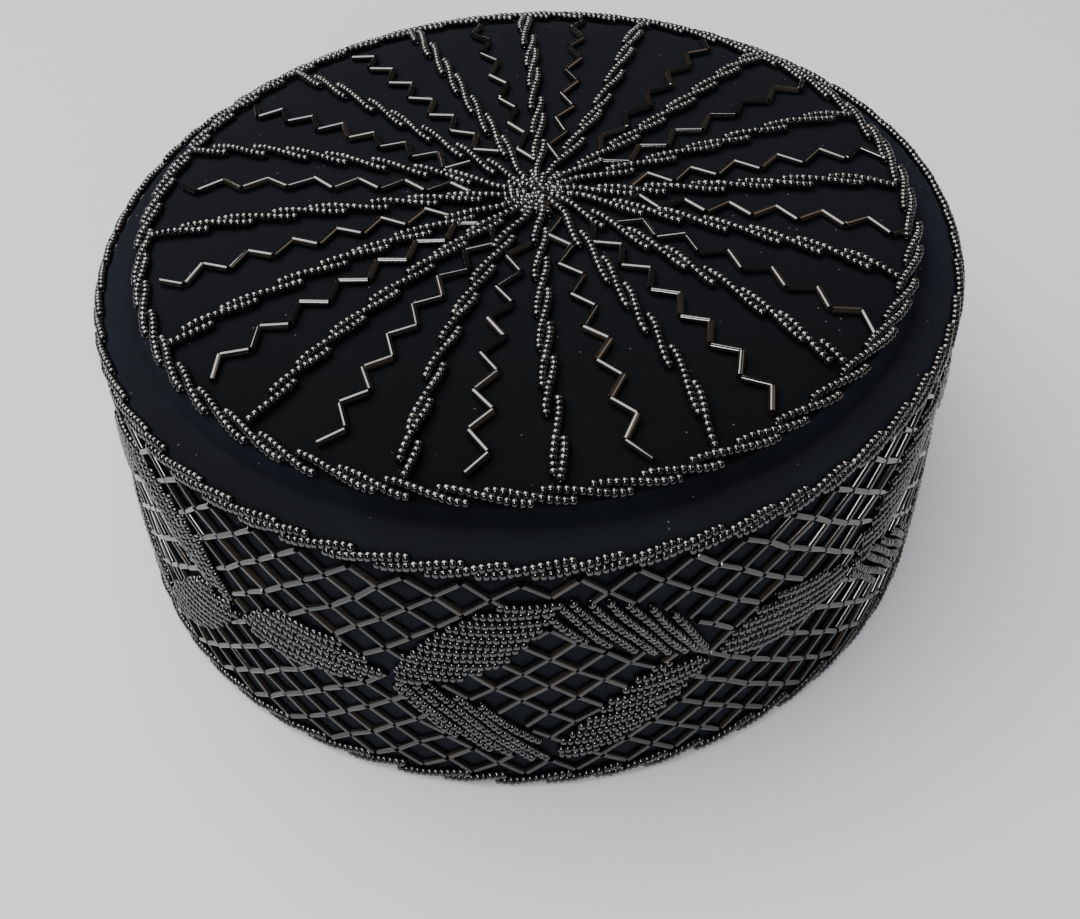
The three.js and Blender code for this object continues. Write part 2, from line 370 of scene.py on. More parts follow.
# %% [markdown]
# ## Glass
# Jet glass is black right through, so all that is seen of it is its gloss: a low roughness
# and a high index, as heavy glass has. The round seed beads catch more of the room than the
# tubes do, so their index is higher. No two beads are quite alike. Each bead carries a tone
# from 0 to 1, stored on it when it is threaded, and the material turns that into a touch of
# brown and a slightly duller or brighter gloss.


# %% Glass materials
def make_glass(name, index, dark, light, smooth, dull):
    """Black glass whose colour and gloss follow each bead's own tone."""
    material, tree, shader, _ = new_material(name, dark, smooth)
    shader.inputs["IOR"].default_value = index
    tone = tree.nodes.new("ShaderNodeAttribute")
    tone.attribute_name = "bead_tone"
    colour = ramp(tree, 0.55, 1.0, dark, light)
    gloss = tree.nodes.new("ShaderNodeMapRange")
    gloss.inputs["To Min"].default_value = smooth
    gloss.inputs["To Max"].default_value = dull
    link(tree, [
        ((tone, "Fac"), (colour, "Fac")),
        ((tone, "Fac"), (gloss, "Value")),
        ((colour, "Color"), (shader, "Base Color")),
        ((gloss, "Result"), (shader, "Roughness")),
    ])
    return material


seed_glass = make_glass(
    "jet_seed_glass",
    index=1.82,
    dark=(0.004, 0.004, 0.005),
    light=(0.010, 0.009, 0.008),
    smooth=0.03,
    dull=0.09)
bugle_glass = make_glass(
    "jet_tube_glass",
    index=1.66,
    dark=(0.005, 0.005, 0.005),
    light=(0.020, 0.015, 0.011),
    smooth=0.03,
    dull=0.10)
print("materials:", seed_glass.name, bugle_glass.name)

# %% [markdown]
# ## One seed bead and one tube bead
# A seed bead is a tiny ring, pinched off a drawn glass tube and tumbled until it is round. A
# tube bead is a length of the same tube, cut and left long. Each is a small profile turned
# about its hole. They are repeated by the thousand, so each has only a few dozen faces and
# lets smooth shading do the rest. A tube bead's cut ends are crisp, so every edge but the
# long ones is marked sharp.


# %% The two beads
def bead(name, profile, sides):
    """A ring-shaped bead about the Z axis, from a closed (radius, height) profile in mm."""
    angles = np.linspace(0, 2 * math.pi, sides, endpoint=False)
    count = len(profile)
    vertices = [(radius * math.cos(angle) / 1000, radius * math.sin(angle) / 1000, height / 1000)
                for angle in angles for radius, height in profile]
    faces = []
    for i in range(sides):
        here = i * count
        beside = (i + 1) % sides * count
        for k in range(count):
            above = (k + 1) % count
            faces.append((here + k, beside + k, beside + above, here + above))
    mesh = bpy.data.meshes.new(name)
    mesh.from_pydata(vertices, [], faces)
    mesh.polygons.foreach_set("use_smooth", [True] * len(faces))
    made = bpy.data.objects.new(name, mesh)
    bpy.context.scene.collection.objects.link(made)
    print(name, len(faces), "faces")
    return made


SEED_RADIUS = 1.0
SEED_PITCH = 1.34
TUBE_RADIUS = 0.8
TUBE_LENGTH = 6.0
SEED_PROFILE = [
    (0.36, -0.47), (0.78, -0.67), (SEED_RADIUS, -0.27),
    (SEED_RADIUS, 0.27), (0.78, 0.67), (0.36, 0.47),
]
TUBE_PROFILE = [
    (0.38, -2.9), (0.70, -3.0), (TUBE_RADIUS, -2.92),
    (TUBE_RADIUS, 2.92), (0.70, 3.0), (0.38, 2.9),
]
seed_bead = bead("seed_bead", SEED_PROFILE, sides=9)
tube_bead = bead("tube_bead", TUBE_PROFILE, sides=10)
half_length = TUBE_LENGTH / 1000 / 2
for edge in tube_bead.data.edges:
    first, last = (tube_bead.data.vertices[i].co for i in edge.vertices)
    edge.use_edge_sharp = abs(first.z - last.z) < half_length

# %% [markdown]
# ## Threading beads with Geometry Nodes
# A run of beads is a thread with beads on it at even distances. The thread is a line of
# points. The first tree turns that line into a curve, puts a point at each bead's pitch and
# stands a bead there with its hole along the thread. The second tree puts one tube bead on
# each edge, and cuts it to the edge's length less the stitch at its ends. Both turn and tilt
# each bead by a small seeded chance, give it a tone, and end in real meshes with the glass
# on them.


# %% Parts that both trees share
def start_tree(name, inputs):
    """A new tree with its named inputs, and the nodes where it starts and ends."""
    tree = bpy.data.node_groups.new(name, "GeometryNodeTree")
    tree.interface.new_socket("Geometry", in_out="INPUT", socket_type="NodeSocketGeometry")
    tree.interface.new_socket("Geometry", in_out="OUTPUT", socket_type="NodeSocketGeometry")
    for label, kind in inputs:
        tree.interface.new_socket(label, in_out="INPUT", socket_type="NodeSocket" + kind)
    return tree, tree.nodes.new("NodeGroupInput"), tree.nodes.new("NodeGroupOutput")


def stand_beads(tree, given, points, along, scale):
    """Stands the bead on each point, aligned, tilted, toned, made real and given its glass."""
    info = tree.nodes.new("GeometryNodeObjectInfo")
    align = tree.nodes.new("FunctionNodeAlignRotationToVector")
    align.axis = "Z"
    chance = tree.nodes.new("FunctionNodeRandomValue")
    chance.data_type = "FLOAT_VECTOR"
    chance.inputs["Min"].default_value = (-1, -1, 0)
    chance.inputs["Max"].default_value = (1, 1, 2 * math.pi)
    most = tree.nodes.new("ShaderNodeCombineXYZ")
    most.inputs["Z"].default_value = 1
    angles = tree.nodes.new("ShaderNodeVectorMath")
    angles.operation = "MULTIPLY"
    tilt = tree.nodes.new("FunctionNodeEulerToRotation")
    rotate = tree.nodes.new("FunctionNodeRotateRotation")
    rotate.rotation_space = "LOCAL"
    stand = tree.nodes.new("GeometryNodeInstanceOnPoints")
    tone = tree.nodes.new("FunctionNodeRandomValue")
    store = tree.nodes.new("GeometryNodeStoreNamedAttribute")
    store.domain = "INSTANCE"
    store.inputs["Name"].default_value = "bead_tone"
    real = tree.nodes.new("GeometryNodeRealizeInstances")
    glass = tree.nodes.new("GeometryNodeSetMaterial")
    link(tree, [
        ((given, "Bead"), (info, "Object")),
        (along, (align, "Vector")),
        ((given, "Seed"), (chance, "Seed")),
        ((given, "Tilt"), (most, "X")),
        ((given, "Tilt"), (most, "Y")),
        ((chance, 0), (angles, 0)),
        ((most, 0), (angles, 1)),
        ((angles, 0), (tilt, 0)),
        ((align, 0), (rotate, 0)),
        ((tilt, 0), (rotate, 1)),
        (points, (stand, "Points")),
        ((info, "Geometry"), (stand, "Instance")),
        ((rotate, 0), (stand, "Rotation")),
        (scale, (stand, "Scale")),
        ((stand, 0), (store, "Geometry")),
        ((given, "Seed"), (tone, "Seed")),
        ((tone, 1), (store, "Value")),
        ((store, 0), (real, 0)),
        ((real, 0), (glass, "Geometry")),
        ((given, "Glass"), (glass, "Material")),
    ])
    return glass


# %% The thread of seed beads
SMALLEST_SEED = (0.92, 0.92, 0.84)
LARGEST_SEED = (1.06, 1.06, 1.12)


def seed_thread():
    """Seed beads at an even pitch along each line."""
    tree, given, result = start_tree("seed_thread", [
        ("Bead", "Object"), ("Glass", "Material"), ("Pitch", "Float"), ("Tilt", "Float"),
        ("Seed", "Int")])
    curve = tree.nodes.new("GeometryNodeMeshToCurve")
    even = tree.nodes.new("GeometryNodeResampleCurve")
    even.mode = "LENGTH"
    tangent = tree.nodes.new("GeometryNodeInputTangent")
    size = tree.nodes.new("FunctionNodeRandomValue")
    size.data_type = "FLOAT_VECTOR"
    size.inputs["Min"].default_value = SMALLEST_SEED
    size.inputs["Max"].default_value = LARGEST_SEED
    link(tree, [
        ((given, "Geometry"), (curve, 0)),
        ((curve, 0), (even, 0)),
        ((given, "Pitch"), (even, "Length")),
        ((given, "Seed"), (size, "Seed")),
    ])
    glass = stand_beads(tree, given, (even, 0), (tangent, 0), (size, 0))
    link(tree, [((glass, 0), (result, 0))])
    return tree


# %% The edges of tube beads
def tube_edges():
    """One tube bead on each edge, cut to the edge's length less a stitch."""
    tree, given, result = start_tree("tube_edges", [
        ("Bead", "Object"), ("Glass", "Material"), ("Length", "Float"), ("Stitch", "Float"),
        ("Tilt", "Float"), ("Seed", "Int")])
    ends = tree.nodes.new("GeometryNodeInputMeshEdgeVertices")
    along = tree.nodes.new("ShaderNodeVectorMath")
    along.operation = "SUBTRACT"
    keep = tree.nodes.new("GeometryNodeCaptureAttribute")
    keep.domain = "EDGE"
    keep.capture_items.new("VECTOR", "Along")
    points = tree.nodes.new("GeometryNodeMeshToPoints")
    points.mode = "EDGES"
    span = tree.nodes.new("ShaderNodeVectorMath")
    span.operation = "LENGTH"
    glass_length = tree.nodes.new("ShaderNodeMath")
    glass_length.operation = "SUBTRACT"
    share = tree.nodes.new("ShaderNodeMath")
    share.operation = "DIVIDE"
    share.use_clamp = True
    scale = tree.nodes.new("ShaderNodeCombineXYZ")
    scale.inputs["X"].default_value = 1
    scale.inputs["Y"].default_value = 1
    link(tree, [
        ((ends, "Position 2"), (along, 0)),
        ((ends, "Position 1"), (along, 1)),
        ((given, "Geometry"), (keep, 0)),
        ((along, 0), (keep, "Along")),
        ((keep, 0), (points, 0)),
        ((keep, "Along"), (span, 0)),
        ((span, "Value"), (glass_length, 0)),
        ((given, "Stitch"), (glass_length, 1)),
        ((glass_length, 0), (share, 0)),
        ((given, "Length"), (share, 1)),
        ((share, 0), (scale, "Z")),
    ])
    glass = stand_beads(tree, given, (points, 0), (keep, "Along"), (scale, 0))
    link(tree, [((glass, 0), (result, 0))])
    return tree


SEED_THREAD = seed_thread()
TUBE_EDGES = tube_edges()
print("trees:", SEED_THREAD.name, TUBE_EDGES.name)

# %% [markdown]
# ## Sewing a piece
# One function takes the threads of a piece, as lists of points in millimetres, and sews
# them on: it draws the lines, lets the tree bead them, and keeps the beaded mesh in place of
# the lines. The piece then stands for its measured solid. A tilt is in radians, and a stitch
# is the bare thread that shows between two tube beads.


# %% Sew on a piece
STITCH = 0.35
SEED_TILT = 0.17
TUBE_TILT = 0.05


def set_input(modifier, label, value):
    """Sets a tree's input by the identifier of the socket that has this label."""
    for item in modifier.node_group.interface.items_tree:
        if item.name == label and item.in_out == "INPUT":
            modifier[item.identifier] = value


def sew(name, threads, node=None, tubes=False, seed=0):
    """Beads the threads of a piece. Each thread is an array of points in millimetres."""
    lines = bpy.data.meshes.new(name)
    edges, start = [], 0
    for thread in threads:
        edges += [(start + i, start + i + 1) for i in range(len(thread) - 1)]
        start += len(thread)
    lines.from_pydata(leaned(np.concatenate(threads)).tolist(), edges, [])
    piece = bpy.data.objects.new(name, lines)
    bpy.context.scene.collection.objects.link(piece)
    beads = piece.modifiers.new("beads", "NODES")
    beads.node_group = TUBE_EDGES if tubes else SEED_THREAD
    set_input(beads, "Bead", tube_bead if tubes else seed_bead)
    set_input(beads, "Glass", bugle_glass if tubes else seed_glass)
    set_input(beads, "Tilt", TUBE_TILT if tubes else SEED_TILT)
    set_input(beads, "Seed", seed)
    if tubes:
        set_input(beads, "Length", TUBE_LENGTH / 1000)
        set_input(beads, "Stitch", STITCH / 1000)
    else:
        set_input(beads, "Pitch", SEED_PITCH / 1000)
    graph = bpy.context.evaluated_depsgraph_get()
    beaded = bpy.data.meshes.new_from_object(
        piece.evaluated_get(graph), preserve_all_data_layers=True, depsgraph=graph)
    piece.modifiers.clear()
    piece.data = beaded
    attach(piece, "root")
    if node:
        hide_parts(node)
    return piece


# %% [markdown]
# ## Stem stitch in beads
# The ropes are sewn in short runs of about a dozen beads. Each run starts beside the end of
# the last one and crosses over to the other side, so the rope looks twisted. A run is an
# S-curve across the rope's width, and lies a little higher in its middle, where the beads
# push each other up, than at its ends, where the thread goes into the cloth. The hand that
# sews it strays a little, sideways and along.


# %% Runs of a rope
STRAIGHT_END = 0.1
STRAY_ASIDE = 0.12
STRAY_ALONG = 0.4
ROPE_LIFT = SEED_RADIUS + 0.05
ROPE_ARCH = 0.3


def rope_runs(length, step, beads, half_width, chance, start=0.0):
    """Gives (distance along, sideways, lift) of each run of a rope, in millimetres."""
    runs = []
    for first in np.arange(start, length, step):
        count = beads + chance.integers(-1, 2)
        share = np.linspace(0, 1, count)
        cross = np.clip((share - STRAIGHT_END) / (1 - 2 * STRAIGHT_END), 0, 1)
        cross = 0.5 * cross + 0.5 * cross * cross * (3 - 2 * cross)
        aside = half_width * (1 - 2 * cross) + chance.uniform(-STRAY_ASIDE, STRAY_ASIDE)
        begin = first + chance.uniform(-STRAY_ALONG, STRAY_ALONG)
        along = begin + share * (count - 1) * SEED_PITCH
        lift = ROPE_LIFT + ROPE_ARCH * np.sin(math.pi * share)
        runs.append((along, aside, lift))
    return runs


def ring_rope(name, node, radius, place, step, beads, half_width, seed):
    """A rope round the cap; place lays (angle in degrees, sideways, lift) on the cloth."""
    chance = np.random.default_rng(seed)
    around = 2 * math.pi * radius
    step = around / round(around / step)
    runs = rope_runs(around - step / 2, step, beads, half_width, chance)
    threads = [place(np.degrees(along / radius), aside, lift) for along, aside, lift in runs]
    piece = sew(name, threads, node, seed=seed)
    print(name, len(threads), "runs,", len(piece.data.polygons), "faces")
    return piece


# %% Three ropes round the cap
RING_RADIUS = 82.0
RING_SLOPE = 0.35
PUFF_END = CROWN_RADIUS - 1.2
SEAM_RADIUS = 91.6
SEAM_LEVEL = 67.8
SEAM_ROPE_RADIUS = 92.2
RIM_ROPE_RADIUS = 96.0
RIM_ROPE_LEVEL = 2.45
RIM_SINK = 0.1
UP_THE_SEAM = (-0.45, 0.95)
OFF_THE_SEAM = (0.8, 0.6)


def on_ring(angle, aside, lift):
    """The ring on the top: runs start on its inner side, and its outer side lies lower."""
    turn = np.radians(angle)
    radius = RING_RADIUS - aside
    level = crown_height(np.minimum(radius, PUFF_END)) + lift
    level = level - RING_SLOPE * np.clip(radius - RING_RADIUS, 0, None)
    return np.stack([radius * np.cos(turn), radius * np.sin(turn), level], axis=-1)


def on_edge(angle, aside, lift):
    """The seam between wall and top, which slopes: runs start low on the wall side."""
    turn = np.radians(angle)
    up = -aside
    radius = SEAM_RADIUS + UP_THE_SEAM[0] * up + OFF_THE_SEAM[0] * lift
    level = SEAM_LEVEL + UP_THE_SEAM[1] * up + OFF_THE_SEAM[1] * lift
    return np.stack([radius * np.cos(turn), radius * np.sin(turn), level], axis=-1)


def on_rim(angle, aside, lift):
    """Just above the rim, pressed a little into the cloth."""
    return on_wall(angle, RIM_ROPE_LEVEL - aside, lift - RIM_SINK)


ring_rope("ring_rope", "crown_ring_string", RING_RADIUS, on_ring,
          step=9.2, beads=12, half_width=1.2, seed=3)
ring_rope("edge_rope", "top_edge_string", SEAM_ROPE_RADIUS, on_edge,
          step=9.2, beads=12, half_width=0.95, seed=4)
ring_rope("rim_rope", "bottom_edge_string", RIM_ROPE_RADIUS, on_rim,
          step=10.5, beads=11, half_width=1.0, seed=5)

# %% [markdown]
# ## The sixteen spokes
# The spokes were sewn by eye, so they aren't evenly spaced and some of them bow. The chart
# has a line for each spoke: the angle at which it ends, counterclockwise from the right, and
# its bow in millimetres. They meet a little off the middle of the top. There the ropes crowd
# and climb over one another, so every second one stops short, and each narrows towards its
# inner end.

# %% Chart of the spokes
SPOKE_MIDDLE = np.array([3.8, 0.9])
# (angle at the ring, bow)
SPOKES = [
    (90.4, -1.1), (68.2, -2.4), (43.8, -1.7), (19.8, -0.5),
    (-0.9, -1.5), (-24.5, 1.1), (-46.5, 1.8), (-69, 1.5),
    (-90.2, -1.2), (-109.9, -3.6), (-132.5, -2.9), (-153, -2.1),
    (-177.2, -1), (-199.5, -1.8), (-225.4, 0), (-249, 0.4),
]
SPOKE_COUNT = len(SPOKES)
RING_INSIDE = 80.4


def compass(angle):
    """Unit direction at an angle in degrees, counterclockwise from the right."""
    return np.array([math.cos(math.radians(angle)), math.sin(math.radians(angle))])


def left_of(ahead):
    """Unit direction square to another one, to its left."""
    return np.array([-ahead[1], ahead[0]])


def field_angle(number):
    """Angle of the middle of the field between a spoke and the next one."""
    gap = (SPOKES[number][0] - SPOKES[(number + 1) % SPOKE_COUNT][0]) % 360
    return SPOKES[number][0] - gap / 2


def reach(angle):
    """How far from where the spokes meet the ring of beads begins."""
    ahead = SPOKE_MIDDLE @ compass(angle)
    return math.sqrt(RING_INSIDE ** 2 - SPOKE_MIDDLE @ SPOKE_MIDDLE + ahead ** 2) - ahead


def on_spoke(number, distance, aside):
    """Plan places at distances along a spoke, sideways to its left."""
    angle, bow = SPOKES[number % SPOKE_COUNT]
    ahead = compass(angle)
    share = np.clip(np.asarray(distance) / reach(angle), 0, 1)
    sideways = bow * np.sin(math.pi * share) + aside
    along = np.multiply.outer(distance, ahead)
    return SPOKE_MIDDLE + along + np.multiply.outer(sideways, left_of(ahead))


lengths = [reach(angle) for angle, bow in SPOKES]
print("spokes:", SPOKE_COUNT, "from", round(min(lengths), 1), "to", round(max(lengths), 1), "mm long")


# %% Sew the spokes
SPOKE_START = 3.4
SHORT_SPOKE_START = 6.6
SHORTEST_RUN = 5
FULL_WIDTH_FROM = 10
NARROWEST = 0.3
HEAP_HEIGHT = 0.6
HEAP_REACH = 7


def spoke_threads(number, chance):
    """Runs of one spoke, up to the ring, heaped a little near the middle."""
    start = SHORT_SPOKE_START if number % 2 else SPOKE_START
    end = reach(SPOKES[number][0])
    threads = []
    runs = rope_runs(end - SHORTEST_RUN, step=9.8, beads=12, half_width=1.25, chance=chance,
                     start=start)
    for along, aside, lift in runs:
        within = along < end
        along, aside, lift = along[within], aside[within], lift[within]
        room = np.clip(along / FULL_WIDTH_FROM, NARROWEST, 1)
        plan = on_spoke(number, along, aside * room)
        heap = HEAP_HEIGHT * np.exp(-(along / HEAP_REACH) ** 2)
        threads.append(on_crown(plan[:, 0], plan[:, 1], lift + heap))
    return threads


for number in range(SPOKE_COUNT):
    chance = np.random.default_rng(40 + number)
    threads = spoke_threads(number, chance)
    sew(f"sewn_spoke_{number + 1:02d}", threads, f"spoke_string_{number + 1:02d}", seed=number)
print("runs on the last spoke:", len(threads))

# %% [markdown]
# ## The middle of the spokes
# Where all the ropes meet, eight more runs cross the middle and cover the velvet. They lie
# on top of one another, each a little higher, and are turned by even steps so that no gap
# shows. The later ones are shorter and heap the very middle. Then sixteen runs of only three
# beads point outwards between the spokes and fill the last gaps there.


# %% Runs across the middle
CROSSINGS = 8
CROSSING_TURN = 67.5
FIRST_TURN = 11
LONG_CROSSINGS = 5
LONG_HALF = 4.1
SHORT_HALF = 2.8
CROSSING_BEADS = 7
CROSSING_ASIDES = (-0.9, 1.1)
LAYER = 0.12
ARCH = 0.3


def crossing_threads():
    """Runs that cross the middle, one over the other."""
    threads = []
    for layer, turn in enumerate(np.arange(CROSSINGS) * CROSSING_TURN + FIRST_TURN):
        ahead = compass(turn)
        half = LONG_HALF if layer < LONG_CROSSINGS else SHORT_HALF
        along = np.linspace(-half, half, CROSSING_BEADS)
        aside = left_of(ahead) * CROSSING_ASIDES[layer % 2]
        plan = SPOKE_MIDDLE + np.outer(along, ahead) + aside
        lift = SEED_RADIUS + LAYER * layer + ARCH * np.cos(along / half * math.pi / 2)
        threads.append(on_crown(plan[:, 0], plan[:, 1], lift))
    return threads


# %% Short runs between the spokes, and sew the middle
NEAR_START = 3.5
FAR_START = 4.9
GAP_BEADS = 3
GAP_LIFT = 1.25
GAP_SLOPE = 0.03


def gap_threads():
    """Runs of a few beads between the spokes' inner ends, lower towards the ring."""
    threads = []
    for number in range(SPOKE_COUNT):
        start = FAR_START if number % 2 else NEAR_START
        along = start + SEED_PITCH * np.arange(GAP_BEADS)
        plan = SPOKE_MIDDLE + np.outer(along, compass(field_angle(number)))
        threads.append(on_crown(plan[:, 0], plan[:, 1], GAP_LIFT - GAP_SLOPE * along))
    return threads


middle = sew("spoke_middle", crossing_threads() + gap_threads(), "spoke_centre", seed=77)
print(middle.name, len(middle.data.polygons), "faces")

# %% [markdown]
# ## Zigzags of tube beads
# In each field between two spokes a thread zigzags inwards from the ring, with one tube
# bead to each leg. The chart has a line for each field: how far out and in it goes, how many
# tube beads it has, on which side its outer end lies, and how far it drifts from the middle
# of its field, in degrees. A leg is as long as a tube bead and its stitch, so where a field
# has more beads for its depth, the zigzag swings wider.

# %% Chart of the zigzags and their legs
# (outer end, inner end, beads, side, drift)
ZIGZAGS = [
    (78, 13, 12, -1, 0.6), (77.8, 20, 11, 1, -2.3), (79, 17.5, 12, 1, -0.4),
    (78.6, 19.3, 12, -1, -1.8), (80.3, 16.6, 13, 1, -0.9), (79.9, 19.5, 12, -1, -1.2),
    (79.2, 16, 13, -1, -1.2), (79.8, 10, 14, 1, 0), (80.7, 17.5, 13, -1, -0.9),
    (82.3, 15, 14, -1, -0.2), (83.2, 15.6, 14, 1, -1.3), (83.6, 20.6, 13, -1, -0.1),
    (83, 15, 13, -1, -0.6), (82.2, 19.6, 14, -1, 0), (79.2, 18.4, 13, 1, 0.3),
    (78, 12.2, 12, -1, -0.8),
]
LEG = 6.37
TUBE_LIFT = TUBE_RADIUS + 0.12


def zigzag_thread(number):
    """Corners of the zigzag in the field after a spoke."""
    outer, inner, legs, side, drift = ZIGZAGS[number]
    distance = np.linspace(outer, inner, legs + 1)
    pitch = (outer - inner) / legs
    swing = math.sqrt(LEG ** 2 - pitch ** 2) / 2
    axis = (on_spoke(number, distance, 0) + on_spoke(number + 1, distance, 0)) / 2
    across = left_of(compass(field_angle(number)))
    turns = side * (-1.0) ** np.arange(legs + 1)
    sideways = swing * turns + np.radians(drift) * distance
    plan = axis + np.outer(sideways, across)
    return on_crown(plan[:, 0], plan[:, 1], np.full(legs + 1, TUBE_LIFT))


# %% Sew the zigzags
for number in range(SPOKE_COUNT):
    thread = zigzag_thread(number)
    sew(f"sewn_zigzag_{number + 1:02d}", [thread], f"zigzag_string_{number + 1:02d}",
        tubes=True, seed=100 + number)
print("zigzags:", len(ZIGZAGS), "with", sum(row[2] for row in ZIGZAGS), "tube beads")

# %% [markdown]
# ## The leaves on the side
# A leaf is filled with parallel rows of seed beads, laid like satin stitch. The chart of a
# leaf is its outline in degrees from the middle of its wreath, to the right, and
# millimetres above the rim, with the slope of its rows, their spacing and how many degrees
# they fan out from one millimetre to the next. Degrees become millimetres along the wall at
# its middle radius, so the rows can be laid out flat. The front wreath is drawn from the
# real one, and the other five repeat it with their own small chances, as one embroiderer's
# hand would. A single leaf stands between each two wreaths.

# %% Charts of the leaves
WALL_MIDDLE_RADIUS = 93.4
DEGREE = math.radians(1) * WALL_MIDDLE_RADIUS
WREATHS = 6
WREATH_STEP = 360 / WREATHS
SINGLE_TURN = 30.8
LEAVES = {
    "upper_left": {
        "outline": [(1.2, 60.4), (-5, 59.5), (-8, 57), (-10, 54), (-12, 51), (-14, 47.5), (-15.5, 44),
                    (-17, 41.5), (-18, 37.5), (-18.2, 34), (-14, 35), (-10, 37), (-7, 40),
                    (-4.5, 43), (-2.6, 47), (-0.9, 51), (0.4, 55)],
        "slope": 2, "spacing": 2.1, "fan": 0,
    },
    "lower_left": {
        "outline": [(-18.4, 32.5), (-16, 26), (-13, 21), (-10, 16), (-6.5, 13), (-3, 10.5), (0.2, 9),
                    (0.3, 12), (-0.6, 15), (-2, 21), (-4.5, 25.5), (-7, 28), (-10, 31),
                    (-14, 34), (-17, 34)],
        "slope": -50, "spacing": 2.2, "fan": 0,
    },
    "lower_right": {
        "outline": [(1.2, 9.5), (5, 10.5), (9, 14), (13, 19.5), (16, 25), (18.5, 30), (20, 33.5),
                    (18, 35.2), (14.5, 36.2), (12, 35.5), (9, 31), (6, 25), (3.5, 20), (1.3, 15)],
        "slope": 8, "spacing": 2.2, "fan": 0,
    },
    "upper_right": {
        "outline": [(-0.4, 60.4), (4, 59.5), (8, 58), (12, 54), (15, 50), (17.5, 46), (19, 41),
                    (20, 36.6), (17, 37), (13, 39.5), (9, 43), (6, 46.5), (2.2, 49.5), (-0.2, 54)],
        "slope": -57, "spacing": 2.15, "fan": -0.55,
    },
    "single": {
        "outline": [(-10.5, 33.6), (-8, 39.5), (-4.5, 43), (0, 43.3), (4, 42), (7.4, 39),
                    (10.2, 35.4), (10.2, 34), (7, 31.2), (3, 29.6), (-2, 29.2), (-6, 30),
                    (-9.5, 32)],
        "slope": -9, "spacing": 2.1, "fan": 0,
    },
}


def flat_outline(name):
    """A leaf's outline in millimetres on the unrolled wall, and its middle."""
    outline = np.array(LEAVES[name]["outline"], float) * [DEGREE, 1]
    return outline, outline.mean(axis=0)


print("one degree along the wall:", round(DEGREE, 2), "mm, leaves:", *LEAVES)


# %% Rows of a leaf
PARALLEL = 1e-9
FIRST_ROW = 0.45
ROW_TURN = 1.5
ROW_STRAY = 0.3
ROW_WAVE = 0.15
WAVE_REACH = 3
WAVE_STARTS = 6
LEAF_LIFT = SEED_RADIUS + 0.02
LEAF_ARCH = 0.35
LEAF_FULLNESS = 0.6


def crossings(outline, point, ahead):
    """Distances along a line at which it crosses a closed outline, in order."""
    found = []
    for first, last in zip(outline, np.roll(outline, -1, axis=0)):
        edge = last - first
        square = ahead[0] * -edge[1] + ahead[1] * edge[0]
        if abs(square) < PARALLEL:
            continue
        away = first - point
        along = (away[0] * -edge[1] + away[1] * edge[0]) / square
        share = (ahead[0] * away[1] - ahead[1] * away[0]) / square
        if 0 <= share < 1:
            found.append(along)
    return sorted(found)


def leaf_rows(name, turn, chance):
    """Threads of the rows that fill a leaf, turned to its wreath's angle."""
    leaf = LEAVES[name]
    slope, spacing = leaf["slope"], leaf["spacing"]
    outline, middle = flat_outline(name)
    spine = compass(slope + 90)
    offs = (outline - middle) @ spine
    threads = []
    for off in np.arange(offs.min() + spacing * FIRST_ROW, offs.max(), spacing):
        ahead = compass(slope + leaf["fan"] * off + chance.uniform(-ROW_TURN, ROW_TURN))
        point = middle + spine * off
        cuts = crossings(outline, point, ahead)
        for start, end in zip(cuts[::2], cuts[1::2]):
            count = int((end - start) / SEED_PITCH)
            if count < 2:
                continue
            share = np.linspace(0, 1, count)
            length = (count - 1) * SEED_PITCH
            begin = (start + end) / 2 - length / 2 + chance.uniform(-ROW_STRAY, ROW_STRAY)
            along = begin + share * length
            wave = ROW_WAVE * np.sin(along / WAVE_REACH + chance.uniform(0, WAVE_STARTS))
            spots = point + np.outer(along, ahead) + np.outer(wave, spine)
            lift = LEAF_LIFT + LEAF_ARCH * np.sin(math.pi * share) ** LEAF_FULLNESS
            threads.append(on_wall(turn + spots[:, 0] / DEGREE, spots[:, 1], lift))
    return threads


# %% Sew the leaves
for wreath in range(WREATHS):
    turn = WREATH_STEP * wreath
    chance = np.random.default_rng(500 + wreath)
    for half in ("left", "right"):
        rows = leaf_rows(f"upper_{half}", turn, chance)
        rows += leaf_rows(f"lower_{half}", turn, chance)
        sew(f"bead_wreath_{wreath + 1}_{half}", rows, f"wreath_{wreath + 1}_{half}",
            seed=600 + wreath)
    single = leaf_rows("single", turn + SINGLE_TURN, chance)
    piece = sew(f"bead_leaf_{wreath + 1}", single, f"side_leaf_{wreath + 1}", seed=700 + wreath)
print("rows in the last leaf:", len(single), "faces:", len(piece.data.polygons))

# %% [markdown]
# ## The net of tube beads
# The side is covered with diamonds, one tube bead to each of their sides. The net is a
# lattice of points on the wall: an even level's points stand halfway between the next one's.
# Tube beads that would lie under a leaf are left out, and one that only reaches into a leaf
# is cut back, so that its end is tucked just under the leaf's outer beads.


# %% Where the leaves hide the net
LEAF_MARGIN = 0.3
LEAF_REACH = 25


def inside(outline, point):
    """True if the point lies in the closed outline."""
    cuts = crossings(outline, point, np.array([1.0, 0.0]))
    return sum(cut > 0 for cut in cuts) % 2 == 1


def leaf_outlines():
    """Outlines of every leaf round the cap as (middle angle, outline in mm about it)."""
    found = []
    for name in LEAVES:
        outline, middle = flat_outline(name)
        spread = outline - middle
        wider = 1 + LEAF_MARGIN / np.linalg.norm(spread, axis=1)
        grown = middle + spread * wider[:, None]
        turn = SINGLE_TURN if name == "single" else 0
        found += [(turn + WREATH_STEP * wreath, grown) for wreath in range(WREATHS)]
    return found


outlines = leaf_outlines()
print("leaves round the cap:", len(outlines))


def covered(place):
    """True if a leaf hides this (angle, level) on the wall."""
    for turn, outline in outlines:
        off = (place[0] - turn + 180) % 360 - 180
        if abs(off) < LEAF_REACH and inside(outline, np.array([off * DEGREE, place[1]])):
            return True
    return False


